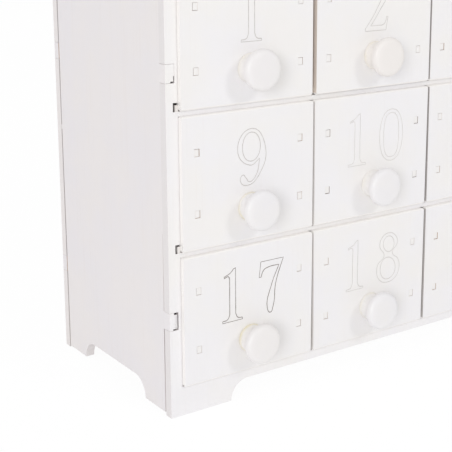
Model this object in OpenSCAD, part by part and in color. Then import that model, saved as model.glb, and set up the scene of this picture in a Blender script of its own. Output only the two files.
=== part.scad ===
// Advent calendar cabinet: a slotted plywood carcass with rows of numbered drawers.
// X runs to the right, Y to the back and Z up. The origin is the middle of the foot print, on the floor.

/* [Layout] */
// Number of drawers in a row
columns = 8; // [2:1:8]
// Number of rows
rows = 3; // [1:1:3]
// Distance from one drawer to the next along a row
column_pitch = 65; // [58:0.5:80]
// Distance from one row to the next
row_pitch = 56; // [52:0.5:70]

/* [Sheets] */
// Thickness of the front, back, side and top boards
sheet_t = 4; // [3:0.25:4.5]
// Thickness of the shelves, dividers and drawer boards
board_t = 3; // [2.5:0.25:3.5]
// Play around a tab in its slot, on each side
joint_play = 0.1; // [0.05:0.05:0.2]

/* [Cabinet] */
// Depth of the carcass without drawer fronts and knobs
carcass_d = 95; // [80:1:120]
// Width of the front panel's upright at each end
stile_w = 5.5; // [5:0.25:9]
// Height of the front panel's strip between two rows
rail_h = 2; // [1.5:0.25:3]
// Height of the strip above the top row
top_rail_h = 5.7; // [5.25:0.25:12]
// Height of the strip under the bottom row
bottom_rail_h = 4; // [3:0.25:8]

/* [Feet] */
// Height of the arch under the carcass
arch_h = 8.3; // [6:0.1:12]
// Radius of the arch's corners
arch_r = 8.3; // [2:0.1:12]
// Width of a foot of the front and back panels
front_foot_w = 29; // [20:1:50]
// Width of a foot of a side panel
side_foot_w = 16.5; // [12:0.5:28]
// Height of the side panels' feet above the floor
side_lift = 0.8; // [0.2:0.1:1.5]

/* [Carcass joints] */
// Height of the lower tab of a side panel
low_tab_z = 37; // [30:1:50]
// Height of the carcass above the upper tab of a side panel
high_tab_drop = 41.4; // [32:0.2:48]
// Height of a side panel's tab
side_tab_h = 7.2; // [5:0.2:12]
// Length of the tabs of the top board and the shelves
board_tab_w = 16; // [10:1:24]
// How far a shelf's ear reaches into the front panel's upright
ear_w = 1.2; // [0.8:0.1:1.6]
// Play above and beside a shelf's ear
ear_play = 0.4; // [0.2:0.1:0.5]
// Gap between a shelf's front edge and the drawer fronts
shelf_gap = 0.4; // [0.3:0.1:0.8]
// Length of the tab under a divider
divider_tab_w = 20; // [12:1:28]

/* [Drawer] */
// Gap between two drawer fronts in a row
front_gap = 2.2; // [1.2:0.1:3]
// Gap between a drawer front and the opening, above and below
front_play = 0.3; // [0.3:0.05:0.5]
// Gap between the last drawer front and the upright
end_gap = 0.6; // [0.4:0.1:1]
// How far a drawer front stands out of the front panel
front_proud = 2; // [1:0.1:2.4]
// Radius of a drawer front's corners
corner_r = 2.5; // [1:0.25:5]
// Distance from a drawer front's edge to the middle of its tabs
tab_inset = 6.3; // [5:0.1:9]
// Height of the lower tabs above the drawer front's bottom edge
low_mark_z = 14.6; // [12:0.2:18]
// Height of the upper tabs above the drawer front's bottom edge
high_mark_z = 39.1; // [30:0.2:42]
// Height of a tab in the drawer front
mark_h = 3.4; // [2.5:0.1:5]
// Height of the drawer box
box_h = 45; // [43:0.5:47]
// Gap between the drawer box and the back panel
back_gap = 3; // [2:0.5:6]
// Gap between the drawer bottom and a divider
run_gap = 0.4; // [0.3:0.1:0.7]
// Gap between the drawer bottom and its shelf
lift_gap = 0.3; // [0.3:0.05:0.5]
// Distance from the drawer box's back edge to its back board
back_setback = 4; // [3:0.5:8]
// Length of the tabs under a drawer side
foot_tab_w = 12; // [8:1:16]
// Height of the tabs of the drawer's back board
back_tab_h = 14; // [8:1:20]

/* [Knob] */
// Height of the knob above the drawer front's bottom edge
knob_z = 14; // [11:0.5:18]
// Diameter of the knob's head
knob_d = 16.6; // [13:0.2:20]
// Length of the knob
knob_l = 10.5; // [10:0.5:14]
// Thickness of the knob's head
head_l = 4.2; // [3.8:0.1:5.6]
// Diameter of the knob's stem
stem_d = 11; // [8:0.2:12]
// Radius of the head's rim
rim_r = 1.6; // [0.6:0.1:1.8]

/* [Screw] */
// Diameter of the knob's screw
screw_d = 3; // [2.5:0.1:3.5]
// Diameter of the screw's head
screw_head_d = 5.6; // [5:0.1:6.5]
// Height of the screw's countersunk head
screw_head_h = 1.4; // [1.2:0.1:1.6]
// How far the screw reaches into the knob
screw_grip = 7; // [5:0.5:8]
// Length of the screw's point
screw_tip = 1.5; // [0.8:0.1:2.5]
// Play around the screw, on each side
screw_play = 0.1; // [0.05:0.05:0.2]
// Length of the screw's cross slot
slot_l = 3; // [2.4:0.2:4]
// Width of the screw's cross slot
slot_w = 0.7; // [0.5:0.1:1]
// Depth of the screw's cross slot
slot_h = 0.8; // [0.4:0.1:1]

/* [Hidden] */
$fn = 48;
overrun = 1;

front_w = column_pitch - front_gap;
front_h = row_pitch - rail_h - 2 * front_play;
opening_w = (columns - 1) * column_pitch + front_w + 2 * end_gap;
opening_h = row_pitch - rail_h;
opening_z = arch_h + bottom_rail_h;
carcass_w = opening_w + 2 * stile_w;
carcass_h = opening_z + (rows - 1) * row_pitch + opening_h + top_rail_h;
overall_d = carcass_d + front_proud + knob_l;

// Planes from front to back
front_y = front_proud + knob_l - overall_d / 2;
face_y = front_y - front_proud;
shelf_y = face_y + board_t + shelf_gap;
inner_y = front_y + sheet_t;
back_y = front_y + carcass_d - sheet_t;
inner_d = back_y - inner_y;
middle_y = inner_y + inner_d / 2;

top_z = carcass_h - sheet_t;
high_tab_z = carcass_h - high_tab_drop - side_tab_h;
inner_w = carcass_w - 2 * sheet_t;

box_w = front_w - 2 * tab_inset + board_t;
base_w = column_pitch - board_t - 2 * run_gap;
box_y = face_y + board_t;
box_d = back_y - back_gap - box_y;
box_back_y = box_y + box_d - back_setback - board_t;

shelf_names = ["bottom_shelf", "middle_shelf", "upper_shelf"];
drawer_count = rows * columns;

function two_digits(n) = n < 10 ? str("0", n) : str(n);
function drawer_name(n) = str("drawer_", two_digits(n));
function knob_name(n) = str("knob_", two_digits(n));

// Shelves count from the floor up, and drawers from the top left, row by row.
function shelf_z(shelf) = opening_z + shelf * row_pitch;
function column_x(column) = (column - (columns - 1) / 2) * column_pitch;
function divider_x(divider) = column_x(divider) + column_pitch / 2;
function drawer_x(n) = column_x((n - 1) % columns);
function drawer_z(n) = shelf_z(rows - 1 - floor((n - 1) / columns));

// The first, the last and the middle columns hold the tabs into the back panel.
tab_columns = [
    for (column = [0 : columns - 1])
        if (column == 0 || column == columns - 1 || abs(column - (columns - 1) / 2) < 1) column
];

// A board that stands across the carcass, drawn in X and Z
module across(y, thickness) {
    translate([0, y + thickness, 0]) rotate([90, 0, 0]) linear_extrude(thickness) children();
}

// A board that stands along the carcass, drawn in Y and Z
module along(x, thickness) {
    translate([x, 0, 0]) rotate([90, 0, 90]) linear_extrude(thickness) children();
}

// A board that lies flat, drawn in X and Y
module flat(z, thickness) {
    translate([0, 0, z]) linear_extrude(thickness) children();
}

module mirrored() {
    children();
    mirror([1, 0, 0]) children();
}

// A rectangle from its lower left corner, grown on every side
module area(left, bottom, width, height, play = 0) {
    translate([left - play, bottom - play]) square([width + 2 * play, height + 2 * play]);
}

// A rectangle that is centred on X
module centred(x, bottom, width, height, play = 0) {
    area(x - width / 2, bottom, width, height, play);
}

module rounded_area(width, height, radius) {
    centred(0, radius, width, height - 2 * radius);
    centred(0, 0, width - 2 * radius, height);
    for (x = [-1, 1], z = [0, 1])
        translate([x * (width / 2 - radius), radius + z * (height - 2 * radius)]) circle(radius);
}

// The arch between two feet, open at the bottom
module arch(left, right, bottom) {
    radius = min(arch_r, arch_h);
    area(left, bottom - overrun, right - left, overrun + arch_h - radius);
    area(left + radius, bottom - overrun, right - left - 2 * radius, overrun + arch_h);
    for (x = [left + radius, right - radius])
        translate([x, bottom + arch_h - radius]) circle(radius);
}

module side_tabs(left, width, play = 0) {
    for (z = [low_tab_z, high_tab_z]) area(left, z, width, side_tab_h, play);
}

module top_tabs(bottom, height, play = 0) {
    for (column = tab_columns) centred(column_x(column), bottom, board_tab_w, height, play);
}

// The outline of the front and back panels, notched for the side panels and the top board
module end_panel_area() {
    difference() {
        centred(0, 0, carcass_w, carcass_h);
        arch(front_foot_w - carcass_w / 2, carcass_w / 2 - front_foot_w, 0);
        mirrored() side_tabs(carcass_w / 2 - sheet_t, sheet_t + overrun, joint_play);
        top_tabs(top_z, sheet_t + overrun, joint_play);
    }
}

module front_panel() {
    color("whitesmoke") across(front_y, sheet_t) difference() {
        end_panel_area();
        for (shelf = [0 : rows - 1]) centred(0, shelf_z(shelf), opening_w, opening_h);
        for (shelf = [1 : 1 : rows - 1])
            centred(0, shelf_z(shelf), opening_w + 2 * (ear_w + ear_play), board_t + ear_play);
    }
}

module back_panel() {
    color("whitesmoke") across(back_y, sheet_t) difference() {
        end_panel_area();
        for (shelf = [0 : rows - 1], column = tab_columns)
            centred(column_x(column), shelf_z(shelf), board_tab_w, board_t, joint_play);
    }
}

module side_panel() {
    color("whitesmoke") along(carcass_w / 2 - sheet_t, sheet_t) {
        difference() {
            area(inner_y, side_lift, inner_d, top_z - side_lift);
            arch(inner_y + side_foot_w, back_y - side_foot_w, side_lift);
        }
        side_tabs(front_y, carcass_d);
    }
}

module right_side() {
    side_panel();
}

module left_side() {
    mirror([1, 0, 0]) side_panel();
}

module top_board() {
    color("whitesmoke") flat(top_z, sheet_t) {
        area(-carcass_w / 2, inner_y, carcass_w, inner_d);
        top_tabs(front_y, carcass_d);
    }
}

// A shelf rests on the strip below it. The upper ones have ears in the front panel's
// uprights and are halved over the dividers from behind.
module shelf(shelf) {
    upper = shelf > 0;
    lip_w = opening_w - 2 * joint_play;
    color("whitesmoke") flat(shelf_z(shelf), board_t) difference() {
        union() {
            centred(0, inner_y, inner_w, inner_d);
            if (upper) difference() {
                centred(0, front_y + joint_play, opening_w + 2 * ear_w, 2 * sheet_t);
                centred(0, front_y - overrun, lip_w, overrun + shelf_y - front_y);
            }
            else centred(0, shelf_y, lip_w, sheet_t);
            for (column = tab_columns)
                centred(column_x(column), back_y - sheet_t, board_tab_w, 2 * sheet_t);
        }
        for (divider = [0 : columns - 2])
            if (upper) centred(divider_x(divider), middle_y, board_t, inner_d, joint_play);
            else centred(divider_x(divider), middle_y - divider_tab_w / 2, board_t, divider_tab_w, joint_play);
    }
}

// The dividers stand on the bottom shelf and are halved over the others from the front.
module dividers() {
    bottom = shelf_z(0) + board_t;
    color("whitesmoke") for (divider = [0 : columns - 2])
        along(divider_x(divider) - board_t / 2, board_t) {
            difference() {
                area(inner_y, bottom, inner_d, top_z - bottom);
                for (shelf = [1 : 1 : rows - 1])
                    area(inner_y - overrun, shelf_z(shelf), overrun + inner_d / 2, board_t, joint_play);
            }
            area(middle_y - divider_tab_w / 2, shelf_z(0), divider_tab_w, 2 * board_t);
        }
}

// Drawer boards, drawn round X = 0 with the opening's bottom edge at Z = 0. A board that
// butts against another stops short of it by the play, and its tabs go through.
base_z = board_t + lift_gap;
wall_z = base_z + board_t;
wall_h = box_h - board_t - joint_play;
side_x = box_w / 2 - board_t;
back_tab_z = wall_z + (wall_h - back_tab_h) / 2;
foot_tab_shares = [0.2, 0.65];
foot_tab_ys = [for (share = foot_tab_shares) box_y + box_d * share];

module drawer_marks(left, width, play = 0) {
    for (z = [low_mark_z, high_mark_z]) area(left, front_play + z - mark_h / 2, width, mark_h, play);
}

module drawer_front() {
    difference() {
        across(face_y, board_t) difference() {
            translate([0, front_play]) rounded_area(front_w, front_h, corner_r);
            mirrored() drawer_marks(side_x, board_t, joint_play);
        }
        translate([0, box_y, front_play + knob_z]) rotate([90, 0, 0]) {
            cylinder(d = screw_d + 2 * screw_play, h = 3 * board_t, center = true);
            cylinder(d1 = screw_head_d + 2 * screw_play, d2 = screw_d + 2 * screw_play, h = screw_head_h);
        }
    }
}

module drawer_side() {
    along(side_x, board_t) difference() {
        union() {
            area(box_y + joint_play, wall_z + joint_play, box_d - joint_play, wall_h);
            drawer_marks(face_y, 2 * board_t);
            for (y = foot_tab_ys) area(y, base_z, foot_tab_w, 2 * board_t);
        }
        area(box_back_y, back_tab_z, board_t, back_tab_h, joint_play);
    }
}

module drawer_back() {
    across(box_back_y, board_t) {
        centred(0, wall_z + joint_play, 2 * (side_x - joint_play), wall_h);
        centred(0, back_tab_z, box_w, back_tab_h);
        centred(0, base_z, foot_tab_w, 2 * board_t);
    }
}

module drawer_base() {
    flat(base_z, board_t) difference() {
        centred(0, box_y + joint_play, base_w, box_d - joint_play);
        mirrored() for (y = foot_tab_ys) area(side_x, y, board_t, foot_tab_w, joint_play);
        centred(0, box_back_y, foot_tab_w, board_t, joint_play);
    }
}

module drawer(n) {
    color("whitesmoke") translate([drawer_x(n), 0, drawer_z(n)]) {
        drawer_front();
        mirrored() drawer_side();
        drawer_back();
        drawer_base();
    }
}

// Half of a round section, from its base on the X axis
module head_section() {
    area(0, knob_l - head_l, knob_d / 2 - rim_r, head_l);
    area(0, knob_l - head_l + rim_r, knob_d / 2, head_l - 2 * rim_r);
    for (y = [knob_l - head_l + rim_r, knob_l - rim_r])
        translate([knob_d / 2 - rim_r, y]) circle(rim_r);
}

module knob_body() {
    difference() {
        rotate_extrude() {
            area(0, 0, stem_d / 2, knob_l - head_l / 2);
            head_section();
        }
        translate([0, 0, -overrun]) cylinder(d = screw_d + 2 * screw_play, h = overrun + screw_grip + screw_play);
    }
}

// The screw comes through the drawer front from behind, its head level with the wood.
module knob_screw() {
    shank_l = board_t + screw_grip - screw_tip;
    difference() {
        translate([0, 0, -board_t]) {
            cylinder(d1 = screw_head_d, d2 = screw_d, h = screw_head_h);
            cylinder(d = screw_d, h = shank_l);
            translate([0, 0, shank_l]) cylinder(d1 = screw_d, d2 = slot_w, h = screw_tip);
        }
        for (turn = [0, 90]) rotate(turn) translate([-slot_l / 2, -slot_w / 2, -board_t - overrun])
            cube([slot_l, slot_w, overrun + slot_h]);
    }
}

module knob(n) {
    translate([drawer_x(n), face_y, drawer_z(n) + front_play + knob_z]) rotate([90, 0, 0]) {
        color("white") knob_body();
        color("silver") knob_screw();
    }
}

front_panel();
back_panel();
left_side();
right_side();
top_board();
dividers();
for (n = [0 : rows - 1]) shelf(n);
for (n = [1 : drawer_count]) drawer(n);
for (n = [1 : drawer_count]) knob(n);
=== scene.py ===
import math
import random

import bmesh
import bpy
from mathutils import Matrix, Vector


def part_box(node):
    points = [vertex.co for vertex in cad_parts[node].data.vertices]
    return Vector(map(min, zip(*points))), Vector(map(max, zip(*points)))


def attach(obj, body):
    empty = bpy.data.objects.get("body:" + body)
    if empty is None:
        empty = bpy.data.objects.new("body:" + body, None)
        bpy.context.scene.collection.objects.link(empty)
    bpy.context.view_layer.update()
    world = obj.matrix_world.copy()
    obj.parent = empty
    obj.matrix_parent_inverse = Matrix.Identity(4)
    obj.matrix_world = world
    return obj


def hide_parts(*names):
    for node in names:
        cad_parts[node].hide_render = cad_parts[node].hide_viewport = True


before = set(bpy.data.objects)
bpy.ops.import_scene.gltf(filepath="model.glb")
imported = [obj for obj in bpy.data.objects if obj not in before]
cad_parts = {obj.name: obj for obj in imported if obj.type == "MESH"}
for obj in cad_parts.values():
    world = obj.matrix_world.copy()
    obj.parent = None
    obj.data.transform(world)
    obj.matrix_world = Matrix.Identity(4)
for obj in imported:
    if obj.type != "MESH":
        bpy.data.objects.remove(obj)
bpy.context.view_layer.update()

mm = 0.001
touch = 0.01 * mm               # places nearer than this are the same one
weld = 0.001 * mm               # the same for the corners of a CAD mesh
aligned = 0.9                   # past this share along an axis, a direction counts as along it
axisX, axisY, axisZ = 0, 1, 2

# The drawers count from the top left, row by row
drawerNumbers = sorted(int(name[-2:]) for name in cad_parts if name.startswith("drawer_"))
columnCount = 8


# Selecting and shaping, as in the edit mode's own menus

def deselectAll():
    if bpy.context.object and bpy.context.object.mode != "OBJECT":
        bpy.ops.object.mode_set(mode="OBJECT")
    bpy.ops.object.select_all(action="DESELECT")


def makeActive(piece):
    deselectAll()
    piece.select_set(True)
    bpy.context.view_layer.objects.active = piece


def startEditing(piece, kind="FACE"):
    makeActive(piece)
    bpy.ops.object.mode_set(mode="EDIT")
    bpy.ops.mesh.select_mode(type=kind)
    bpy.ops.mesh.select_all(action="DESELECT")


def pick(piece, kind, isWanted):
    startEditing(piece, kind)
    shape = bmesh.from_edit_mesh(piece.data)
    parts = {"VERT": shape.verts, "EDGE": shape.edges, "FACE": shape.faces}[kind]
    for part in parts:
        if isWanted(part):
            part.select_set(True)
    shape.select_flush(True)
    bmesh.update_edit_mesh(piece.data)


def stopEditing():
    bpy.ops.object.mode_set(mode="OBJECT")


def runsAlong(edge, axis):
    way = edge.verts[1].co - edge.verts[0].co
    return abs(way[axis]) > aligned * way.length


def settle(piece):
    makeActive(piece)
    bpy.ops.object.transform_apply(location=True, rotation=True, scale=True)


def useModifier(piece, kind, **values):
    makeActive(piece)
    modifier = piece.modifiers.new(kind.title(), kind)
    for name, value in values.items():
        setattr(modifier, name, value)
    bpy.ops.object.modifier_apply(modifier=modifier.name)


def cut(piece, cutter, **values):
    useModifier(piece, "BOOLEAN", operation="DIFFERENCE", object=cutter, **values)
    bpy.data.objects.remove(cutter)


def easeEdges(piece, width, segments=2, sharp=40):
    useModifier(piece, "BEVEL", width=width, segments=segments, limit_method="ANGLE",
                angle_limit=math.radians(sharp), use_clamp_overlap=True)


def smoothByAngle(piece, degrees=20):
    makeActive(piece)
    bpy.ops.object.shade_smooth_by_angle(angle=math.radians(degrees))


def addBlock(name, low, high):
    deselectAll()
    centre, size = (low + high) / 2, high - low
    bpy.ops.mesh.primitive_cube_add(size=1, location=centre, scale=size)
    block = bpy.context.object
    block.name = name
    settle(block)
    return block


def joinAs(name, pieces):
    makeActive(pieces[0])
    for piece in pieces:
        piece.select_set(True)
    bpy.ops.object.join()
    pieces[0].name = name
    return pieces[0]


def copyPiece(piece, name, shift=None):
    twin = piece.copy()
    twin.data = piece.data.copy()
    twin.name = twin.data.name = name
    bpy.context.scene.collection.objects.link(twin)
    if shift:
        twin.data.transform(Matrix.Translation(shift))
    return twin


def extent(piece):
    points = [corner.co for corner in piece.data.vertices]
    low = Vector(min(point[axis] for point in points) for axis in range(3))
    high = Vector(max(point[axis] for point in points) for axis in range(3))
    return low, high


def looseBoards(nodeName):
    # A copy of the node's own mesh, merged, with one object for each board
    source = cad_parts[nodeName]
    piece = bpy.data.objects.new(nodeName + "Copy", source.data.copy())
    bpy.context.scene.collection.objects.link(piece)
    piece.data.materials.clear()
    startEditing(piece)
    bpy.ops.mesh.select_all(action="SELECT")
    bpy.ops.mesh.remove_doubles(threshold=weld)
    bpy.ops.mesh.dissolve_limited(angle_limit=math.radians(1))
    bpy.ops.mesh.separate(type="LOOSE")
    stopEditing()
    return list(bpy.context.selected_objects)


# Materials

def newGroup(name, inputs, outputs):
    group = bpy.data.node_groups.new(name, "ShaderNodeTree")
    for way, sockets in (("INPUT", inputs), ("OUTPUT", outputs)):
        for socketName, socketType in sockets.items():
            group.interface.new_socket(socketName, in_out=way, socket_type=socketType)
    return group, group.nodes.new("NodeGroupInput"), group.nodes.new("NodeGroupOutput")


def addNode(tree, kind, inputs=None, **settings):
    node = tree.nodes.new(kind)
    for name, value in settings.items():
        setattr(node, name, value)
    for name, value in (inputs or {}).items():
        if isinstance(value, bpy.types.NodeSocket):
            tree.links.new(value, node.inputs[name])
        else:
            node.inputs[name].default_value = value
    return node


def noiseNode(tree, vector, scale, detail, roughness):
    inputs = {"Vector": vector, "Scale": scale, "Detail": detail, "Roughness": roughness}
    return addNode(tree, "ShaderNodeTexNoise", inputs).outputs["Fac"]


def stretched(tree, vector, stretch):
    return addNode(tree, "ShaderNodeMapping", {"Vector": vector, "Scale": stretch}).outputs["Vector"]


def rangeOf(tree, value, fromLow, fromHigh, toLow, toHigh):
    return addNode(tree, "ShaderNodeMapRange", {
        "Value": value, "From Min": fromLow, "From Max": fromHigh, "To Min": toLow, "To Max": toHigh,
    }, clamp=True).outputs["Result"]


def mathOf(tree, operation, first, second):
    return addNode(tree, "ShaderNodeMath", {0: first, 1: second}, operation=operation).outputs[0]


def productOf(tree, value, *factors):
    for factor in factors:
        value = mathOf(tree, "MULTIPLY", value, factor)
    return value


def mixOf(tree, share, first, second):
    node = tree.nodes.new("ShaderNodeMix")
    node.data_type = "RGBA"
    sockets = {"Factor_Float": share, "A_Color": first, "B_Color": second}
    for identifier, value in sockets.items():
        socket = next(entry for entry in node.inputs if entry.identifier == identifier)
        if isinstance(value, bpy.types.NodeSocket):
            tree.links.new(value, socket)
        else:
            socket.default_value = value
    return next(entry for entry in node.outputs if entry.identifier == "Result_Color")


colours = {
    "warmWhite": (0.904, 0.885, 0.868, 1),
    "coolWhite": (0.896, 0.882, 0.892, 1),
    # Painted light: a brighter, warm paint for the drawer fronts' cut edges, lifting the shade on the ledges
    # under the fronts above
    "litEdgeWhite": (0.965, 0.942, 0.918, 1),
    # Painted shade: darker copies of the white paint for the faces turned to the sides, and darker still for
    # the front panel's ends
    "shadedSideWarm": (0.880, 0.841, 0.836, 1),
    "shadedSideCool": (0.870, 0.837, 0.850, 1),
    "shadedEndWarm": (0.846, 0.815, 0.816, 1),
    "shadedEndCool": (0.840, 0.813, 0.826, 1),
    "knobWhite": (0.880, 0.863, 0.861, 1),
    "knobCool": (0.868, 0.854, 0.870, 1),
    "knobWarm": (0.883, 0.846, 0.818, 1),
    "thinPaint": (0.84, 0.79, 0.62, 1),
    "glue": (0.78, 0.69, 0.38, 1),
    "birch": (0.56, 0.39, 0.25, 1),
    "charAndShadeBlack": (0.085, 0.056, 0.054, 1),
    "burntLine": (0.17, 0.13, 0.105, 1),
    "steel": (0.62, 0.62, 0.63, 1),
    "darkSteel": (0.5, 0.5, 0.51, 1),
}

paintLook = {
    # Scale per metre, detail and roughness of each noise. The grain and the brush marks are stretched.
    "clouds": (34.0, 3.0, 0.55),
    "grain": (1.0, 3.0, 0.6),
    "brush": (1.0, 2.0, 0.5),
    "stipple": (2600.0, 2.0, 0.6),
    "patches": (160.0, 3.0, 0.6),
    "grainStretch": (900, 900, 26),
    "brushStretch": (2400, 2400, 120),
    "cloudRange": (0.4, 0.62),
    "poreRange": (0.56, 0.74),
    "poreShade": 0.09,          # how much of the wood shows in the pores
    "edgeCover": 0.85,          # how much of the edge paint shows on a cut edge
    "plies": 3.0,
    "seamReach": 0.12,          # how far a dark seam goes into its ply
    "seamShade": 0.5,
    "patchRange": (0.35, 0.75),
    "leastPatch": 0.3,
    "brushHeight": 0.35,
    "stippleHeight": 0.25,
    "glossDrift": 0.3,          # how far the gloss follows the clouds
    "specular": 0.35,
}


def buildPaintGroup():
    # Thin satin paint over plywood: soft clouds, raised grain, brush marks and thin cut edges
    look = paintLook
    colour, number, vector = "NodeSocketColor", "NodeSocketFloat", "NodeSocketVector"
    group, source, target = newGroup("brushedPaint", {
        "Place": vector, "Grain place": vector, "Paint": colour, "Cool paint": colour, "Wood": colour,
        "Edge paint": colour, "Edge": number, "Layer": number, "Bare and shade": number, "Edge tint": number,
        "Grain": number, "Gloss": number,
    }, {"Color": colour, "Roughness": number, "Height": number})
    inputs = source.outputs

    clouds = noiseNode(group, inputs["Place"], *look["clouds"])
    cool = rangeOf(group, clouds, *look["cloudRange"], 0.0, 1.0)
    paint = mixOf(group, cool, inputs["Paint"], inputs["Cool paint"])

    grain = noiseNode(group, stretched(group, inputs["Grain place"], look["grainStretch"]), *look["grain"])
    pores = rangeOf(group, grain, *look["poreRange"], 0.0, 1.0)
    shaded = mixOf(group, productOf(group, pores, inputs["Grain"], look["poreShade"]), paint, inputs["Wood"])
    shaded = mixOf(group, productOf(group, inputs["Edge"], look["edgeCover"]), shaded, inputs["Edge paint"])

    # A cut edge is darker where the paint ran thin over the layers of the ply
    layers = productOf(group, inputs["Layer"], look["plies"])
    wave = mathOf(group, "PINGPONG", layers, 1.0)
    seam = rangeOf(group, wave, 0.0, look["seamReach"], look["seamShade"], 0.0)
    patches = noiseNode(group, inputs["Place"], *look["patches"])
    patches = rangeOf(group, patches, *look["patchRange"], look["leastPatch"], 1.0)
    thin = productOf(group, inputs["Edge"], inputs["Edge tint"], patches)
    thinSeam = productOf(group, inputs["Edge"], seam, inputs["Edge tint"])
    bareAndShade = mathOf(group, "MAXIMUM", mathOf(group, "ADD", thin, thinSeam), inputs["Bare and shade"])
    bareAndShade = addNode(group, "ShaderNodeClamp", {"Value": bareAndShade}).outputs[0]
    edged = mixOf(group, bareAndShade, shaded, inputs["Wood"])
    # Above 1 the bare wood is charred, darkened to near black partly as painted shade in gaps, and below 0
    # the paint is darkened towards it as painted shade in joints and gaps
    edged = mixOf(group, rangeOf(group, inputs["Bare and shade"], 1.0, 2.0, 0.0, 1.0), edged, colours["charAndShadeBlack"])
    edged = mixOf(group, rangeOf(group, inputs["Bare and shade"], -1.0, 0.0, 1.0, 0.0), edged, colours["charAndShadeBlack"])

    brush = noiseNode(group, stretched(group, inputs["Grain place"], look["brushStretch"]), *look["brush"])
    stipple = noiseNode(group, inputs["Place"], *look["stipple"])
    strokes = mathOf(group, "ADD", productOf(group, brush, look["brushHeight"]),
                     productOf(group, stipple, look["stippleHeight"]))
    height = mathOf(group, "ADD", productOf(group, grain, inputs["Grain"]), strokes)
    drift = productOf(group, mathOf(group, "SUBTRACT", clouds, 0.5), look["glossDrift"])
    group.links.new(edged, target.inputs["Color"])
    group.links.new(mathOf(group, "ADD", inputs["Gloss"], drift), target.inputs["Roughness"])
    group.links.new(height, target.inputs["Height"])
    return group


def newMaterial(name):
    material = bpy.data.materials.new(name)
    material.use_nodes = True
    tree = material.node_tree
    return material, tree, tree.nodes["Principled BSDF"]


def readAttribute(tree, name):
    return addNode(tree, "ShaderNodeAttribute", attribute_name=name).outputs["Fac"]


def paintedWood(name, turn, paint, coolPaint, edgePaint, edgeTint, grain, gloss, bumpDepth):
    # turn carries the board's long grain onto Z
    material, tree, shader = newMaterial(name)
    place = addNode(tree, "ShaderNodeTexCoord").outputs["Object"]
    grainPlace = addNode(tree, "ShaderNodeMapping", {"Vector": place, "Rotation": turn}).outputs["Vector"]
    coat = addNode(tree, "ShaderNodeGroup", node_tree=paintGroup)
    inputs = {
        "Place": place, "Grain place": grainPlace, "Edge": readAttribute(tree, "cutEdge"),
        "Layer": readAttribute(tree, "layer"), "Bare and shade": readAttribute(tree, "bareAndShade"),
    }
    for socketName, value in inputs.items():
        tree.links.new(value, coat.inputs[socketName])
    values = {
        "Paint": colours[paint], "Cool paint": colours[coolPaint], "Wood": colours["birch"],
        "Edge paint": colours[edgePaint], "Edge tint": edgeTint, "Grain": grain, "Gloss": gloss,
    }
    for socketName, value in values.items():
        coat.inputs[socketName].default_value = value
    bump = addNode(tree, "ShaderNodeBump",
                   {"Height": coat.outputs["Height"], "Strength": 1.0, "Distance": bumpDepth})
    tree.links.new(coat.outputs["Color"], shader.inputs["Base Color"])
    tree.links.new(coat.outputs["Roughness"], shader.inputs["Roughness"])
    tree.links.new(bump.outputs["Normal"], shader.inputs["Normal"])
    shader.inputs["Specular IOR Level"].default_value = paintLook["specular"]
    return material


upright = (0, 0, 0)
lying = (0, math.radians(90), 0)   # what ran up runs along X

paints = {
    # material, turn of the grain, paint, cool paint, edge paint, edge tint, grain, gloss, bump depth
    # Painted shade: the front panel's cut edges, the side boards and the dividers take the shaded side paint
    "front": ("carcassPaint", upright, "warmWhite", "coolWhite", "shadedSideWarm", 0.08, 0.5, 0.46, 0.03 * mm),
    "side": ("shadedSidePaint", upright, "shadedSideWarm", "shadedSideCool", "shadedSideWarm", 0.04, 0.5, 0.46, 0.03 * mm),
    "end": ("shadedEndPaint", upright, "shadedEndWarm", "shadedEndCool", "shadedEndWarm", 0.04, 0.5, 0.5, 0.03 * mm),
    "flat": ("shelfPaint", lying, "warmWhite", "coolWhite", "warmWhite", 0.14, 0.5, 0.48, 0.03 * mm),
    "drawer": ("drawerPaint", upright, "warmWhite", "coolWhite", "litEdgeWhite", 0.03, 0.35, 0.42, 0.025 * mm),
    "box": ("boxPaint", lying, "warmWhite", "coolWhite", "warmWhite", 0.02, 0.4, 0.5, 0.03 * mm),
}
paintGroup = buildPaintGroup()
materials = {finish: paintedWood(*recipe) for finish, recipe in paints.items()}

lineLook = {
    "patches": (420.0, 3.0, 0.6),           # scale per metre, detail and roughness
    "patchRange": (0.3, 0.7, 0.65, 1.0),    # from and to
    "roughness": (0.5, 0.9),                # of the paint and of the burnt wood
}


def burntLineMaterial():
    # The laser's line, burnt brown where it is deep and filled with paint where it is faint
    material, tree, shader = newMaterial("burntLine")
    place = addNode(tree, "ShaderNodeTexCoord").outputs["Object"]
    patches = rangeOf(tree, noiseNode(tree, place, *lineLook["patches"]), *lineLook["patchRange"])
    burn = productOf(tree, readAttribute(tree, "burn"), patches)
    tree.links.new(mixOf(tree, burn, colours["warmWhite"], colours["burntLine"]), shader.inputs["Base Color"])
    tree.links.new(rangeOf(tree, burn, 0.0, 1.0, *lineLook["roughness"]), shader.inputs["Roughness"])
    return material


materials["line"] = burntLineMaterial()


def giveShares(piece, name, domain, values):
    # A number for each point or face, which the materials read
    piece.data.attributes.new(name, "FLOAT", domain).data.foreach_set("value", values)


def markBoard(piece, axis):
    # cutEdge is 1 on the board's cut edges, and layer runs from 0 to 1 through its thickness
    low, high = extent(piece)
    faces = piece.data.polygons
    giveShares(piece, "cutEdge", "FACE", [0.0 if abs(face.normal[axis]) > aligned else 1.0
                                          for face in faces])
    giveShares(piece, "layer", "POINT", [(corner.co[axis] - low[axis]) / (high[axis] - low[axis])
                                         for corner in piece.data.vertices])
    giveShares(piece, "bareAndShade", "FACE", [0.0] * len(faces))


def setShare(piece, isWanted, share, name="bareAndShade"):
    for face, entry in zip(piece.data.polygons, piece.data.attributes[name].data):
        if isWanted(face):
            entry.value = share


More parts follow.
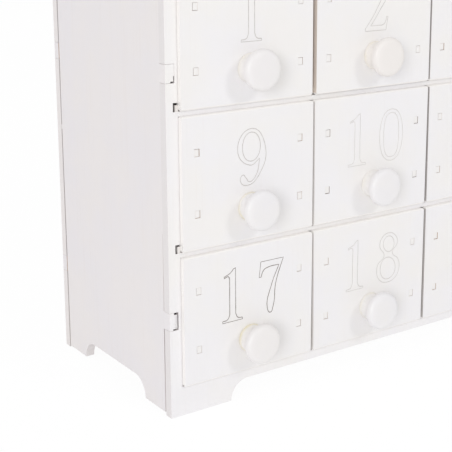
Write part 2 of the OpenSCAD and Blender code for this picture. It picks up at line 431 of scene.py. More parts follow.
def isInBox(place, low, high, slack=0.0):
    return all(start - slack < value < end + slack for value, start, end in zip(place, low, high))


def thinAxis(piece):
    low, high = extent(piece)
    return min(range(3), key=lambda axis: high[axis] - low[axis])


def dressBoard(piece, material, easing):
    axis = thinAxis(piece)
    easeEdges(piece, easing)
    markBoard(piece, axis)
    piece.data.materials.append(material)
    smoothByAngle(piece)
    return piece


def fit(piece, body, nodeName):
    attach(piece, body)
    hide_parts(nodeName)


print("materials ready")

# The carcass

carcass = {
    "easing": 0.06 * mm,
    "boards": {
        "front_panel": ("frontPanel", "front"), "back_panel": ("backPanel", "front"),
        "left_side": ("leftSide", "side"), "right_side": ("rightSide", "side"),
        "top_board": ("topBoard", "flat"), "dividers": ("dividerBoards", "side"),
        "bottom_shelf": ("bottomShelf", "flat"), "middle_shelf": ("middleShelf", "flat"),
        "upper_shelf": ("upperShelf", "flat"),
    },
    # Taken off for the play round the tabs, as boxes on the left: low corner and high corner, in mm,
    # with the depth counted from the front panel's face
    "play": {
        "left_side": [
            ((-261.4, -0.1, 37.1), (-260.9, 5.5, 44.1)), ((-262.9, -0.1, 43.5), (-260.9, 5.8, 44.3)),
            ((-263.4, -0.1, 36.9), (-260.9, 5.8, 37.6)), ((-261.4, -0.1, 135.3), (-260.9, 5.5, 138.0)),
            ((-262.7, -0.1, 135.3), (-260.9, 5.8, 136.0)), ((-265.5, 3.5, -0.5), (-260.5, 30.5, 1.2)),
        ],
        "front_panel": [
            ((-261.8, -0.1, 68.25), (-261.0, 4.1, 71.75)), ((-261.8, -0.1, 124.25), (-261.0, 4.1, 127.75)),
        ],
        "middle_shelf": [
            ((-262, -0.1, 71.0), (-259.4, 4.1, 71.4)), ((-262, -0.1, 68.2), (-260.7, 4.1, 68.6)),
        ],
        "upper_shelf": [((-262, -0.1, 126.8), (-259.4, 4.1, 127.4))],
    },
    "earGrowth": 0.65 * mm,
    "earReach": 0.2 * mm,       # how far from its end and behind the panel an ear's corners are looked for
    "charAndShade": 2.0,               # the charred wood in those gaps, darkened to near black as painted shade
    "charAndShadeReach": 0.1,          # how far past their boxes it is looked for, in mm
    "charAndShadeSlant": 0.3,          # and how far its faces may look to the front or the back
    # Shallow grooves where the joint's line runs on over a side's rear tabs, given as the play is
    "grooves": [
        ((-265.5, 90.3, 36.5), (-264.5, 91.1, 44.7)), ((-265.5, 90.2, 135.0), (-264.5, 91.1, 143.0)),
    ],
    # A groove in the joint, on the back panel just behind each side, painted dark as painted shade
    "backGroove": ((-265.5, 90.9, -1), (-263.0, 91.15, 185)),
    # How dark the joint grooves are painted, below 0, as painted shade
    "jointShade": -0.28,
    # Where the sides stand off the panels: low end and high end up the joint, and the gap at each, in mm
    "frontJoint": [(-1, 36.9, 0.7, 0.5), (44.3, 76, 0.4, 0.1)],
    "backJoint": [
        (-1, 36.9, 0.8, 0.8), (44.3, 104, 0.85, 0.7), (106, 135.3, 0.6, 0.85), (142.7, 185, 0.85, 1.0),
    ],
    "thinJoint": 0.05 * mm,     # half of such a gap before its ends are pulled open
    "jointBare": {-1: 0.55, 1: 0.15},   # how little paint reached into those gaps, behind and in front
}


def placed(box):
    # The box's corners with the depth counted from the middle of the case, still in mm
    faceY = Vector((0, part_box("front_panel")[0].y / mm, 0))
    return tuple(Vector(corner) + faceY for corner in box)


def fromLeft(place):
    # In mm, with the right end laid over the left one
    return -abs(place.x) / mm, place.y / mm, place.z / mm


def takeOff(board, nodeName, low, high):
    # Boxes are given for the left end, and the right end has the same ones the other way round.
    # A side lies at one end, and the other boards reach to both.
    for end in ("left", "right"):
        if nodeName.endswith("_side") and not nodeName.startswith(end):
            continue
        block = addBlock("takenOff", low * mm, high * mm)
        if end == "right":
            makeActive(block)
            bpy.ops.transform.resize(value=(-1, 1, 1), center_override=(0, 0, 0))
            settle(block)
            startEditing(block)
            bpy.ops.mesh.select_all(action="SELECT")
            bpy.ops.mesh.normals_make_consistent(inside=False)
            stopEditing()
        cut(board, block, solver="EXACT")


def openJoint(side, panelY, inward, stops):
    # Wedges off the side where it meets a panel, as wide at either end as the gap there
    low, high = extent(side)
    thin = carcass["thinJoint"]
    for bottom, top, gapBelow, gapAbove in stops:
        wedge = addBlock("wedge", Vector((low.x - mm, panelY - thin, bottom * mm)),
                         Vector((high.x + mm, panelY + thin, top * mm)))
        middleZ = (bottom + top) / 2 * mm
        for up, gap in ((-1, gapBelow), (1, gapAbove)):
            pick(wedge, "VERT", lambda corner: (corner.co.z - middleZ) * up > 0
                 and (corner.co.y - panelY) * inward > 0)
            bpy.ops.transform.translate(value=(0, inward * (gap * mm - thin), 0))
        stopEditing()
        cut(side, wedge, solver="EXACT")
    setShare(side, lambda face: abs(face.normal.y) > aligned and abs(face.center.y - panelY) < mm,
             carcass["jointBare"][inward])


def widenEars(shelf):
    # The ends of the shelf that come through the front panel
    panelBack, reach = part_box("front_panel")[1].y, extent(shelf)[1].x
    for across in (-1, 1):
        pick(shelf, "VERT", lambda corner: corner.co.y < panelBack + carcass["earReach"]
             and corner.co.x * across > reach - carcass["earReach"])
        bpy.ops.transform.translate(value=(across * carcass["earGrowth"], 0, 0))
    stopEditing()


def repaint(board, material, isRepainted):
    board.data.materials.append(material)
    for face in board.data.polygons:
        if isRepainted(face):
            face.material_index = len(board.data.materials) - 1


def finishSide(side, nodeName):
    for low, high in map(placed, carcass["grooves"]):
        takeOff(side, nodeName, low, high)
        # Each groove is painted dark as painted shade in the joint
        # As far as the groove's inner wall
        reach = high + Vector((touch / mm, 0, 0))
        setShare(side, lambda face: isInBox(fromLeft(face.center), low, reach), carcass["jointShade"])
    openJoint(side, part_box("front_panel")[1].y, 1, carcass["frontJoint"])
    openJoint(side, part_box("back_panel")[0].y, -1, carcass["backJoint"])
    # The tabs' ends were painted with the front
    frontY = extent(side)[0].y
    repaint(side, materials["front"], lambda face: face.center.y < frontY + touch)
    setShare(side, lambda face: face.center.y < frontY + touch, 0.0, "cutEdge")


def finishBack(panel):
    low, high = placed(carcass["backGroove"])
    takeOff(panel, "back_panel", low, high)
    # The groove's face is painted dark as painted shade in the joint
    setShare(panel, lambda face: face.normal.y < -aligned and abs(face.center.x) > -high.x * mm
             and abs(face.center.y - high.y * mm) < touch, carcass["jointShade"])


def modelBoards(nodeName, finish):
    boards = [dressBoard(board, materials[finish], carcass["easing"]) for board in looseBoards(nodeName)]
    board = boards[0]
    gaps = [placed(box) for box in carcass["play"].get(nodeName.replace("right", "left"), [])]
    if gaps and nodeName.endswith("_shelf"):
        widenEars(board)
    for low, high in gaps:
        takeOff(board, nodeName, low, high)
    if nodeName.endswith("_side"):
        finishSide(board, nodeName)
    if nodeName == "back_panel":
        finishBack(board)
    if nodeName == "front_panel":
        # Painted shade: the front panel's ends take the darker end paint
        outerX = extent(board)[1].x
        repaint(board, materials["end"], lambda face: abs(face.center.x) > outerX - touch)
    for low, high in gaps:
        # The charred wood, darkened as painted shade in the gaps, though not under the foot
        if low.z > 0:
            setShare(board, lambda face: abs(face.normal.y) < carcass["charAndShadeSlant"]
                     and isInBox(fromLeft(face.center), low, high, carcass["charAndShadeReach"]), carcass["charAndShade"])
    smoothByAngle(board)
    return boards


for nodeName, (pieceName, finish) in carcass["boards"].items():
    fit(joinAs(pieceName, modelBoards(nodeName, finish)), "carcass", nodeName)
print("carcass ready")

# The drawers

drawer = {
    "frontThickness": 3 * mm,
    "lowerRadius": 1.4 * mm,
    "upperRadius": 0.8 * mm,
    "cornerSegments": 5,
    "frontEasing": 0.08 * mm,
    "lowerEdge": 0.3 * mm,      # how round the front is along the bottom
    "upperEdge": 0.35 * mm,
    "rollerSides": 48,
    "rollerOverrun": 4 * mm,
    "boxEasing": 0.2 * mm,
    "sideEasing": 0.04 * mm,    # on the box sides, whose tabs show in the front
    "slotPlay": 0.13 * mm,
    "tabWidth": 2.1 * mm,       # of a tab's end
    "tabHeight": 2.8 * mm,
    "tabDrift": 0.12 * mm,      # how far a tab lies off its slot's middle
    "cornerReach": 27 * mm,     # from the front's middle, past the slots
    "rim": 3 * mm,              # outside the slots
    "wallSlant": 0.1,           # how far the slots' walls may look to the front
    "belowSlant": 0.2,          # how far down the lower edge's faces look, at least
    "rise": 0.29 * mm,          # what the paint adds above and below
    "endGrowth": 0.54 * mm,     # what it adds beside the case's stiles
    # Gaps between a drawer front and the next one on its right, at their foot and at their top, in mm
    "gaps": {
        1: (2.1, 2.1), 2: (0.95, 0.95), 9: (1.1, 0.85), 10: (1.4, 0.95), 17: (1.5, 0.75), 18: (1.5, 1.25),
    },
    "otherGaps": (0.8, 1.4),
    # How bare the left edges are, where the paint missed them, and below 0 how dark, as painted shade in the
    # gaps between fronts
    "bareAndShadedEdges": {2: 0.45, 3: -0.5, 10: -0.12, 11: -0.5, 18: -0.12, 19: -0.4},
    "shadeBelow": {2: -0.3},     # painted shade along the lower edge, the same way
    # How bare the slots' walls are, where the laser burnt them
    "slotBare": {1: 0.5, 2: 0.4, 9: 1.0, 10: 1.6, 17: 0.3, 18: 0.4},
    "otherSlotBare": (0.1, 1.2),
}

engraving = {
    "height": 22.5 * mm,
    "baseline": 23.0 * mm,      # above the drawer front's bottom edge
    "topRowRise": 1.3 * mm,
    "spacing": 19.5 * mm,       # between the middles of two figures
    "middle": 0.8 * mm,         # how far right of the front's middle
    "lineRadius": 0.2 * mm,
    "curveSteps": 6,
    # How dark the numbers are
    "burn": {17: 1.0, 9: 0.4, 1: 0.4, 2: 0.35, 10: 0.22, 18: 0.3},
    "otherBurn": (0.3, 0.8),
}

# Outlines of the figures on a grid 100 high: place across, height, and 1 where the line runs on smoothly
figures = {
    "0": [
        [(30, 101, 1), (0, 50, 1), (30, -1, 1), (60, 50, 1)],
        [(30, 94, 1), (10.5, 50, 1), (30, 6, 1), (49.5, 50, 1)],
    ],
    "1": [
        [(0, 0, 0), (43, 0, 0), (43, 3.5, 0), (33, 5.5, 1), (28.5, 14, 0), (28.5, 100, 0), (24, 98.5, 0),
         (17, 92, 1), (4, 87, 0), (4, 84, 0), (13, 86, 1), (15.5, 81, 0), (15.5, 14, 0), (11, 5.5, 1),
         (0, 3.5, 0)],
    ],
    "2": [
        [(0, 0, 0), (51, 0, 0), (56, 25, 0), (52.5, 25, 0), (48, 13, 1), (41, 9.5, 0), (13, 9.5, 0),
         (33, 35, 1), (53, 73, 1), (28, 101, 1), (5, 86, 1), (2, 74, 1), (8, 67, 1), (14, 74, 1),
         (16, 87, 1), (26, 93.5, 1), (40, 72, 1), (26, 38, 1), (0, 4.5, 0)],
    ],
    "3": [
        [(27, 101, 1), (49, 79, 1), (35, 55, 0), (57, 29, 1), (24, -1, 1), (2, 8, 1), (5, 19, 1),
         (14, 14, 1), (26, 6.5, 1), (43.5, 28, 1), (26, 50, 1), (17, 50.5, 0), (17, 54.5, 0), (37, 77, 1),
         (24, 93.5, 1), (13, 86, 1), (8, 77, 1), (3, 82, 1)],
    ],
    "4": [
        [(33, 0, 0), (46, 0, 0), (46, 25, 0), (60, 25, 0), (60, 34, 0), (46, 34, 0), (46, 100, 0),
         (38, 100, 0), (0, 33, 0), (0, 25, 0), (33, 25, 0)],
        [(33, 34, 0), (33, 80, 0), (7.5, 34, 0)],
    ],
    "5": [
        [(13, 99, 0), (47, 99, 0), (53, 101, 0), (48, 87, 0), (17, 87, 0), (14.5, 67, 0), (30, 68, 1),
         (54, 34, 1), (20, -1, 1), (1, 6, 1), (5, 17, 1), (14, 11, 1), (23, 6, 1), (41, 32, 1),
         (26, 56, 1), (7, 57, 0)],
    ],
    "7": [
        [(4, 100, 0), (55, 100, 0), (38, 55, 1), (31.5, 9, 1), (25.5, -1, 1), (18.5, 9, 1), (28, 52, 1),
         (45, 88, 0), (22, 87.5, 1), (10, 83, 1), (4.5, 71, 0), (0, 71, 0)],
    ],
    "8": [
        [(30, 101, 1), (13, 94, 1), (7, 77, 1), (19, 55, 1), (3, 40, 1), (0, 26, 1), (9, 6, 1),
         (30, -1, 1), (52, 7, 1), (60, 27, 1), (56, 43, 1), (41, 58, 1), (54, 78, 1), (47, 94, 1)],
        [(30, 94.5, 1), (16, 80, 1), (34, 62, 1), (45, 78, 1)],
        [(29, 5.5, 1), (9.5, 26, 1), (25, 51, 1), (49.5, 26, 1)],
    ],
    "9": [
        [(31, 101, 1), (61, 62, 1), (50, 20, 1), (22, -1, 1), (6, 8, 1), (11, 19, 1), (18, 13, 1),
         (25, 5, 1), (39, 14, 1), (48, 45, 0), (27, 35, 1), (0, 67, 1)],
        [(30, 94.5, 1), (10.5, 68, 1), (29, 42, 1), (49.5, 66, 1)],
    ],
}
gridHeight, nineWidth = 100, 61
# A six is a nine turned half round
figures["6"] = [[(nineWidth - across, gridHeight - up, smooth) for across, up, smooth in loop]
                for loop in figures["9"]]


def engraveTool(symbol, middleX, baseZ, faceY):
    # A round wire bent along the figure's outline, half sunk in the face
    deselectAll()
    bpy.ops.curve.primitive_bezier_circle_add(location=(0, 0, 0))
    curve = bpy.context.object.data
    curve.splines.clear()
    scale = engraving["height"] / gridHeight
    loops = figures[symbol]
    reach = [across for across, up, smooth in loops[0]]
    middle = (min(reach) + max(reach)) / 2
    for loop in loops:
        spline = curve.splines.new("BEZIER")
        spline.bezier_points.add(len(loop) - 1)
        spline.use_cyclic_u = True
        spline.resolution_u = engraving["curveSteps"]
        for point, (across, up, smooth) in zip(spline.bezier_points, loop):
            point.co = (middleX + (across - middle) * scale, faceY, baseZ + up * scale)
            point.handle_left_type = point.handle_right_type = "AUTO" if smooth else "VECTOR"
    curve.dimensions = "3D"
    curve.bevel_depth = engraving["lineRadius"]
    curve.bevel_resolution = 1
    bpy.ops.object.convert(target="MESH")
    tool = bpy.context.object
    tool.data.materials.clear()
    tool.data.materials.append(materials["line"])
    return tool


def roundOver(front, low, edgeZ, up, radius):
    # A bar with a hollow takes the sharp edge off along the top or the bottom
    reach = extent(front)[1].x + mm
    heights = sorted((edgeZ - up * radius, edgeZ + up * mm))
    bar = addBlock("bar", Vector((low.x - mm, low.y - mm, heights[0])),
                   Vector((reach, low.y + radius, heights[1])))
    deselectAll()
    bpy.ops.mesh.primitive_cylinder_add(vertices=drawer["rollerSides"], radius=radius,
                                        depth=reach - low.x + drawer["rollerOverrun"],
                                        rotation=lying,
                                        location=((low.x + reach) / 2, low.y + radius, edgeZ - up * radius))
    roller = bpy.context.object
    settle(roller)
    cut(bar, roller, solver="EXACT")
    cut(front, bar, solver="EXACT")


def modelFront(low, high, slots):
    # A blank with round corners, eased edges and a slot for each of the box sides' tabs
    front = addBlock("drawerFront", low, high)
    middleZ = (low.z + high.z) / 2
    for up, radius in ((-1, drawer["lowerRadius"]), (1, drawer["upperRadius"])):
        pick(front, "EDGE", lambda edge: runsAlong(edge, axisY) and (edge.verts[0].co.z - middleZ) * up > 0)
        bpy.ops.mesh.bevel(offset=radius, segments=drawer["cornerSegments"], affect="EDGES")
    pick(front, "EDGE", lambda edge: all(corner.co.y < low.y + touch for corner in edge.verts))
    bpy.ops.mesh.bevel(offset=drawer["frontEasing"], segments=2, affect="EDGES")
    stopEditing()
    roundOver(front, low, low.z, -1, drawer["lowerEdge"])
    roundOver(front, low, high.z, 1, drawer["upperEdge"])
    play = Vector((drawer["slotPlay"], drawer["frontThickness"], drawer["slotPlay"]))
    for slotLow, slotHigh in slots:
        cut(front, addBlock("slot", slotLow - play, slotHigh + play), solver="EXACT")
    return front


def tabBoxes(board, faceY, boxY):
    # The ends of a box side's tabs, found where the board reaches into the drawer front
    ends = [corner.co for corner in board.data.vertices if corner.co.y < faceY + touch]
    across = [end.x for end in ends]
    heights = sorted({round(end.z / mm, 2) for end in ends})
    return [(Vector((min(across), faceY, bottom * mm)), Vector((max(across), boxY, top * mm)))
            for bottom, top in zip(heights[::2], heights[1::2])]


def slimTabs(board, faceY, boxY):
    # The marks in the fronts are smaller than the drawing's tabs
    for low, high in tabBoxes(board, faceY, boxY):
        size = high - low
        narrower, lower = drawer["tabWidth"] / size.x, drawer["tabHeight"] / size.z
        for reach, across in ((faceY, narrower), (boxY, 1)):
            pick(board, "VERT", lambda corner: abs(corner.co.y - reach) < touch
                 and low.z - touch < corner.co.z < high.z + touch)
            bpy.ops.transform.resize(value=(across, 1, lower), center_override=(low + high) / 2)
    stopEditing()


def modelDrawer():
    # The first drawer, from which the others are copied: its front and its box with the tabs
    boards = looseBoards("drawer_01")
    blank = max(boards, key=lambda board: (extent(board)[1] - extent(board)[0]).z)
    low, high = extent(blank)
    boards.remove(blank)
    bpy.data.objects.remove(blank)
    sides = [board for board in boards if thinAxis(board) == axisX]
    boxY = low.y + drawer["frontThickness"]
    for board in sides:
        slimTabs(board, low.y, boxY)
    front = modelFront(low, high, [slot for board in sides for slot in tabBoxes(board, low.y, boxY)])
    markBoard(front, axisY)
    for board in boards:
        dressBoard(board, materials["box"], drawer["sideEasing" if board in sides else "boxEasing"])
    return front, joinAs("drawerBox", boards), low, high


frontModel, boxModel, frontLow, frontHigh = modelDrawer()
print("drawer model ready")


def engrave(front, number, low, high):
    symbols = str(number)
    burn = engraving["burn"].get(number, random.uniform(*engraving["otherBurn"]))
    middleX = (low.x + high.x) / 2 + engraving["middle"] - (len(symbols) - 1) * engraving["spacing"] / 2
    baseZ = low.z + engraving["baseline"] + (engraving["topRowRise"] if number <= columnCount else 0.0)
    for place, symbol in enumerate(symbols):
        tool = engraveTool(symbol, middleX + place * engraving["spacing"], baseZ, low.y)
        cut(front, tool, solver="EXACT", material_mode="TRANSFER")
    return burn


def growth(number, across, up):
    # Half of what closes the drawing's gap down to the one this drawer has on that side
    column = (number - 1) % columnCount
    if column == (0 if across < 0 else columnCount - 1):
        return drawer["endGrowth"]
    gaps = drawerGaps[number if across > 0 else number - 1]
    return (widestGap - gaps[0 if up < 0 else 1] * mm) / 2


def fitFront(front, number, middle):
    # Thick paint and a hand-sanded edge leave no two gaps alike
    for across in (-1, 1):
        for up in (-1, 1):
            pick(front, "VERT", lambda corner: (corner.co.x - middle.x) * across > drawer["cornerReach"]
                 and (corner.co.z - middle.z) * up > 0)
            shift = (growth(number, across, up) * across, 0, drawer["rise"] * up)
            bpy.ops.transform.translate(value=shift)
    stopEditing()


def paintFront(front, number, burn):
    low, high = extent(front)
    rim = Vector((drawer["rim"], -touch, drawer["rim"]))
    # Bare wood on the left edges, and painted shade there and along the lower edge
    setShare(front, lambda face: face.normal.x < -aligned and face.center.x < low.x + mm,
             drawer["bareAndShadedEdges"].get(number, 0.0))
    setShare(front, lambda face: face.normal.z < -drawer["belowSlant"]
             and face.center.z < low.z + drawer["lowerEdge"],
             drawer["shadeBelow"].get(number, 0.0))
    # The slots' walls
    setShare(front, lambda face: abs(face.normal.y) < drawer["wallSlant"]
             and isInBox(face.center, low + rim, high - rim),
             drawer["slotBare"].get(number, random.uniform(*drawer["otherSlotBare"])))
    giveShares(front, "burn", "FACE", [burn] * len(front.data.polygons))


def driftTabs(box, middle, boxY):
    # Each tab lies a little to one side of its slot
    for across in (-1, 1):
        for up in (-1, 1):
            pick(box, "VERT", lambda corner: corner.co.y < boxY - touch
                 and (corner.co.x - middle.x) * across > 0 and (corner.co.z - middle.z) * up > 0)
            drift = [random.uniform(-1, 1) * drawer["tabDrift"] for axis in range(3)]
            bpy.ops.transform.translate(value=(drift[axisX], abs(drift[axisY]), drift[axisZ]))
    stopEditing()


random.seed(24)
drawerGaps = {number: drawer["gaps"].get(number, [random.uniform(*drawer["otherGaps"]) for end in (0, 1)])
              for number in drawerNumbers}
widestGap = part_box("drawer_02")[0].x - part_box("drawer_01")[1].x
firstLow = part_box("drawer_01")[0]
for number in drawerNumbers:
    nodeName = f"drawer_{number:02d}"
    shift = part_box(nodeName)[0] - firstLow
    low, high = frontLow + shift, frontHigh + shift
    middle = (low + high) / 2
    front = copyPiece(frontModel, f"drawerFront{number:02d}", shift)
    front.data.materials.append(materials["drawer"])
    burn = engrave(front, number, low, high)
    fitFront(front, number, middle)
    paintFront(front, number, burn)
    box = copyPiece(boxModel, f"drawerBox{number:02d}", shift)
    driftTabs(box, middle, low.y + drawer["frontThickness"])
    fit(front, nodeName, nodeName)
    fit(box, nodeName, nodeName)
for piece in (frontModel, boxModel):
    bpy.data.objects.remove(piece)
print("drawers ready")

# The knobs

knob = {
    "sides": 48,
    "boreRadius": 1.6 * mm,
    "boreDepth": 7.1 * mm,
    # Radius and distance from the drawer front, from the foot to the face, in mm
    "outline": [
        (5.75, 0), (5.95, 0.4), (5.7, 0.9), (5.45, 1.8), (5.4, 3.0), (5.6, 4.2), (6.15, 5.2), (6.95, 6.0),
        (7.65, 6.65), (8.1, 7.3), (8.3, 8.0), (8.3, 8.75), (8.2, 9.2), (7.95, 9.6), (7.55, 9.95),
        (7.1, 10.18), (6.5, 10.32), (5.6, 10.4), (3.4, 10.44), (1.0, 10.47),
    ],
    "smoothAngle": 40,
    "screwEasing": 0.06 * mm,
    "tilt": 0.8,                # degrees
    "warmReach": 5.0 * mm,      # how far out the thin paint round the stem shows
    "glueReach": 1.6 * mm,      # how far out the yellow glue line shows
    # How yellow the glue line and how warm the paint is
    "glue": {9: 1.0, 17: 1.0, 1: 0.15, 2: 0.3, 10: 0.1, 18: 0.25},
    "warmth": {2: 1.0, 17: 0.45, 9: 0.1},
    "otherGlue": (0.05, 0.6),
    "otherWarmth": (0.0, 0.4),
    # Scale per metre, detail and roughness of the noises, and what the first two are spread over
    "patches": (190.0, 3.0, 0.6),
    "clouds": (60.0, 2.0, 0.5),
    "stipple": (1500.0, 2.0, 0.6),
    "smudges": (900.0, 3.0, 0.6),
    "patchRange": (0.35, 0.7, 0.25, 1.0),
    "cloudRange": (0.4, 0.62, 0.0, 1.0),
    "stemShare": 0.3,           # how much of the thin paint shows at the foot
    "ringsPerMm": 9.0,          # the turning marks
    "stippleHeight": 0.4,
    "bumpDepth": 0.03 * mm,
    # How much of its noise each finish spreads over, and the roughness of the knob and of the screw
    "noiseRange": (0.3, 0.7),
    "roughness": (0.36, 0.46),
    "screwRoughness": (0.28, 0.45),
}


def knobPaint():
    # Turned beech under paint, thin and yellowish round the stem
    material, tree, shader = newMaterial("knobPaint")
    place = addNode(tree, "ShaderNodeTexCoord").outputs["Object"]
    reach = readAttribute(tree, "fromFront")
    patches = rangeOf(tree, noiseNode(tree, place, *knob["patches"]), *knob["patchRange"])
    clouds = rangeOf(tree, noiseNode(tree, place, *knob["clouds"]), *knob["cloudRange"])
    paint = mixOf(tree, clouds, colours["knobWhite"], colours["knobCool"])
    paint = mixOf(tree, readAttribute(tree, "warmth"), paint, colours["knobWarm"])
    stem = productOf(tree, rangeOf(tree, reach, 0.0, 1.0, knob["stemShare"], 0.0), patches)
    paint = mixOf(tree, stem, paint, colours["thinPaint"])
    foot = rangeOf(tree, reach, 0.0, knob["glueReach"] / knob["warmReach"], 1.0, 0.0)
    glue = productOf(tree, foot, readAttribute(tree, "glue"), patches)
    tree.links.new(mixOf(tree, glue, paint, colours["glue"]), shader.inputs["Base Color"])

    radius = productOf(tree, readAttribute(tree, "fromAxis"), knob["ringsPerMm"])
    rings = addNode(tree, "ShaderNodeTexNoise", {"W": radius, "Scale": 1.0, "Detail": 3.0},
                    noise_dimensions="1D").outputs["Fac"]
    stipple = noiseNode(tree, place, *knob["stipple"])
    height = mathOf(tree, "ADD", rings, productOf(tree, stipple, knob["stippleHeight"]))
    bump = addNode(tree, "ShaderNodeBump", {"Height": height, "Strength": 1.0, "Distance": knob["bumpDepth"]})
    tree.links.new(bump.outputs["Normal"], shader.inputs["Normal"])
    roughness = rangeOf(tree, stipple, *knob["noiseRange"], *knob["roughness"])
    tree.links.new(roughness, shader.inputs["Roughness"])
    return material


def screwSteel():
    material, tree, shader = newMaterial("screwSteel")
    place = addNode(tree, "ShaderNodeTexCoord").outputs["Object"]
    smudge = noiseNode(tree, place, *knob["smudges"])
    roughness = rangeOf(tree, smudge, *knob["noiseRange"], *knob["screwRoughness"])
    tree.links.new(roughness, shader.inputs["Roughness"])
    shader.inputs["Metallic"].default_value = 1.0
    tree.links.new(mixOf(tree, smudge, colours["steel"], colours["darkSteel"]), shader.inputs["Base Color"])
    return material


materials["knob"] = knobPaint()
materials["screw"] = screwSteel()


def modelKnob(foot):
    # Turned on its axis, from the bottom of the screw's bore out to the middle of the face
    radius, reach = knob["boreRadius"], knob["boreDepth"]
    deselectAll()
    bpy.ops.mesh.primitive_circle_add(vertices=knob["sides"], radius=radius, fill_type="NGON",
                                      location=foot - Vector((0, reach, 0)),
                                      rotation=(math.radians(90), 0, 0))
    piece = bpy.context.object
    piece.name = "knobModel"
    settle(piece)
    startEditing(piece, "EDGE")
    bpy.ops.mesh.select_all(action="SELECT")
    bpy.ops.mesh.region_to_loop()
    stops = [(radius, 0.0)] + [(outer * mm, out * mm) for outer, out in knob["outline"]]
    for nextRadius, nextReach in stops:
        bpy.ops.mesh.extrude_region_move(TRANSFORM_OT_translate={"value": (0, reach - nextReach, 0)})
        scale = nextRadius / radius
        bpy.ops.transform.resize(value=(scale, 1, scale))
        radius, reach = nextRadius, nextReach
    bpy.ops.mesh.edge_face_add()
    bpy.ops.mesh.select_all(action="SELECT")
    bpy.ops.mesh.normals_make_consistent(inside=False)
    stopEditing()
    offsets = [corner.co - foot for corner in piece.data.vertices]
    giveShares(piece, "fromAxis", "POINT", [math.hypot(offset.x, offset.z) / mm for offset in offsets])
    giveShares(piece, "fromFront", "POINT", [-offset.y / knob["warmReach"] for offset in offsets])
    piece.data.materials.append(materials["knob"])
    smoothByAngle(piece, knob["smoothAngle"])
    return piece


def modelScrew():
    parts = looseBoards("knob_01")
    screw = min(parts, key=lambda part: (extent(part)[1] - extent(part)[0]).x)
    for part in parts:
        if part != screw:
            bpy.data.objects.remove(part)
    easeEdges(screw, knob["screwEasing"], 1)
    screw.data.materials.append(materials["screw"])
    smoothByAngle(screw)
    return screw


knobLow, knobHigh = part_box("knob_01")
knobFoot = Vector(((knobLow.x + knobHigh.x) / 2, frontLow.y, (knobLow.z + knobHigh.z) / 2))
knobModel, screwModel = modelKnob(knobFoot), modelScrew()
for number in drawerNumbers:
    nodeName = f"knob_{number:02d}"
    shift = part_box(nodeName)[0] - knobLow
    piece = copyPiece(knobModel, f"knob{number:02d}", shift)
    foot = knobFoot + shift
    turn = Matrix.Rotation(random.uniform(0, math.tau), 4, "Y")
    lean = Matrix.Rotation(math.radians(random.uniform(-1, 1) * knob["tilt"]), 4, "Z")
    piece.data.transform(Matrix.Translation(foot) @ lean @ turn @ Matrix.Translation(-foot))
    for name, others in (("glue", "otherGlue"), ("warmth", "otherWarmth")):
        share = knob[name].get(number, random.uniform(*knob[others]))
        giveShares(piece, name, "POINT", [share] * len(piece.data.vertices))
    screw = copyPiece(screwModel, f"knobScrew{number:02d}", shift)
    body = f"drawer_{number:02d}"
    fit(piece, body, nodeName)
    fit(screw, body, nodeName)
for piece in (knobModel, screwModel):
    bpy.data.objects.remove(piece)
print("knobs ready")

# Floor, light and camera

stage = {
    "floorSize": 6.0,
    "floorDrop": 0.02 * mm,
    "floorWhite": (0.92, 0.92, 0.92, 1),
    "floorRoughness": 0.9,
    "plain": ((1, 1, 1, 1), 1.02),      # colour and strength of the floor that the camera sees
    "plainShare": 0.93,         # how much of the floor's own shading the camera misses
    "glow": 0.25,               # the part of the floor that lights the piece from below
    "worldWhite": (1, 1, 1, 1),
    "worldStrength": 0.617,
    "lamps": [
        # name, place, size, watts, colour
        ("keyLamp", (0.35, -1.62, 1.12), 0.42, 4.6, (1.0, 0.99, 0.985)),
        ("fillLamp", (-2.1, -1.6, 0.7), 0.95, 18.0, (0.975, 0.98, 1.0)),
    ],
    "aim": (-0.16, -0.04, 0.08),
}


def raysToView(tree):
    # 1 where a ray shows the surface itself, straight on, mirrored or through glass
    rays = addNode(tree, "ShaderNodeLightPath").outputs
    straight = mathOf(tree, "MAXIMUM", rays["Is Camera Ray"], rays["Is Glossy Ray"])
    return mathOf(tree, "MAXIMUM", straight, rays["Is Transmission Ray"])


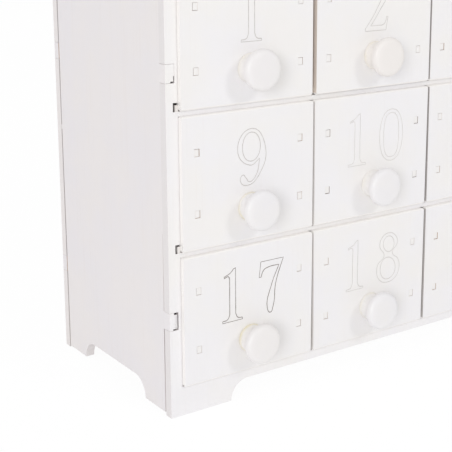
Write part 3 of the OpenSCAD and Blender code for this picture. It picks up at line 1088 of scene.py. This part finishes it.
def addFloor():
    deselectAll()
    bpy.ops.mesh.primitive_plane_add(size=stage["floorSize"], location=(0, 0, -stage["floorDrop"]))
    floor = bpy.context.object
    floor.name = "floor"
    material, tree, shader = newMaterial("floorWhite")
    shader.inputs["Base Color"].default_value = stage["floorWhite"]
    shader.inputs["Roughness"].default_value = stage["floorRoughness"]
    colour, strength = stage["plain"]
    plain = addNode(tree, "ShaderNodeEmission", {"Color": colour, "Strength": strength})
    share = rangeOf(tree, raysToView(tree), 0.0, 1.0, stage["glow"], stage["plainShare"])
    blend = addNode(tree, "ShaderNodeMixShader", {"Fac": share})
    tree.links.new(shader.outputs["BSDF"], blend.inputs[1])
    tree.links.new(plain.outputs["Emission"], blend.inputs[2])
    tree.links.new(blend.outputs["Shader"], tree.nodes["Material Output"].inputs["Surface"])
    floor.data.materials.append(material)


def lightWorld():
    world = bpy.data.worlds.new("studio")
    bpy.context.scene.world = world
    world.use_nodes = True
    tree = world.node_tree
    background = tree.nodes["Background"]
    background.inputs["Color"].default_value = stage["worldWhite"]
    strength = rangeOf(tree, raysToView(tree), 0.0, 1.0, stage["worldStrength"], 1.0)
    tree.links.new(strength, background.inputs["Strength"])


def addLamps():
    for name, place, size, watts, colour in stage["lamps"]:
        deselectAll()
        bpy.ops.object.light_add(type="AREA", location=place)
        lamp = bpy.context.object
        lamp.name = name
        lamp.data.shape = "DISK"
        lamp.data.size = size
        lamp.data.energy = watts
        lamp.data.color = colour
        lamp.rotation_euler = (Vector(stage["aim"]) - Vector(place)).to_track_quat("-Z", "Y").to_euler()


view = {
    "place": (-0.47003, -0.38443, 0.19641),
    "yaw": 34.10,               # degrees, turned to the right of straight ahead
    "pitch": 11.94,             # degrees, looking down
    "roll": 0.44,
    "lens": 85.83,
    "sensor": 36.0,
    "rise": -0.18,
    "nearest": 0.01,
}


def addCamera():
    yaw, pitch, roll = (math.radians(view[name]) for name in ("yaw", "pitch", "roll"))
    ahead = Vector((math.sin(yaw) * math.cos(pitch), math.cos(yaw) * math.cos(pitch), -math.sin(pitch)))
    level = Vector((math.cos(yaw), -math.sin(yaw), 0))
    below = ahead.cross(level)
    right = level * math.cos(roll) + below * math.sin(roll)
    down = below * math.cos(roll) - level * math.sin(roll)
    deselectAll()
    bpy.ops.object.camera_add(location=view["place"])
    camera = bpy.context.object
    camera.rotation_euler = Matrix((right, -down, -ahead)).transposed().to_euler()
    camera.data.lens = view["lens"]
    camera.data.sensor_width = view["sensor"]
    camera.data.shift_y = view["rise"]
    camera.data.clip_start = view["nearest"]
    bpy.context.scene.camera = camera


addFloor()
lightWorld()
addLamps()
addCamera()
bpy.context.scene.view_settings.view_transform = "Standard"
print("stage ready")
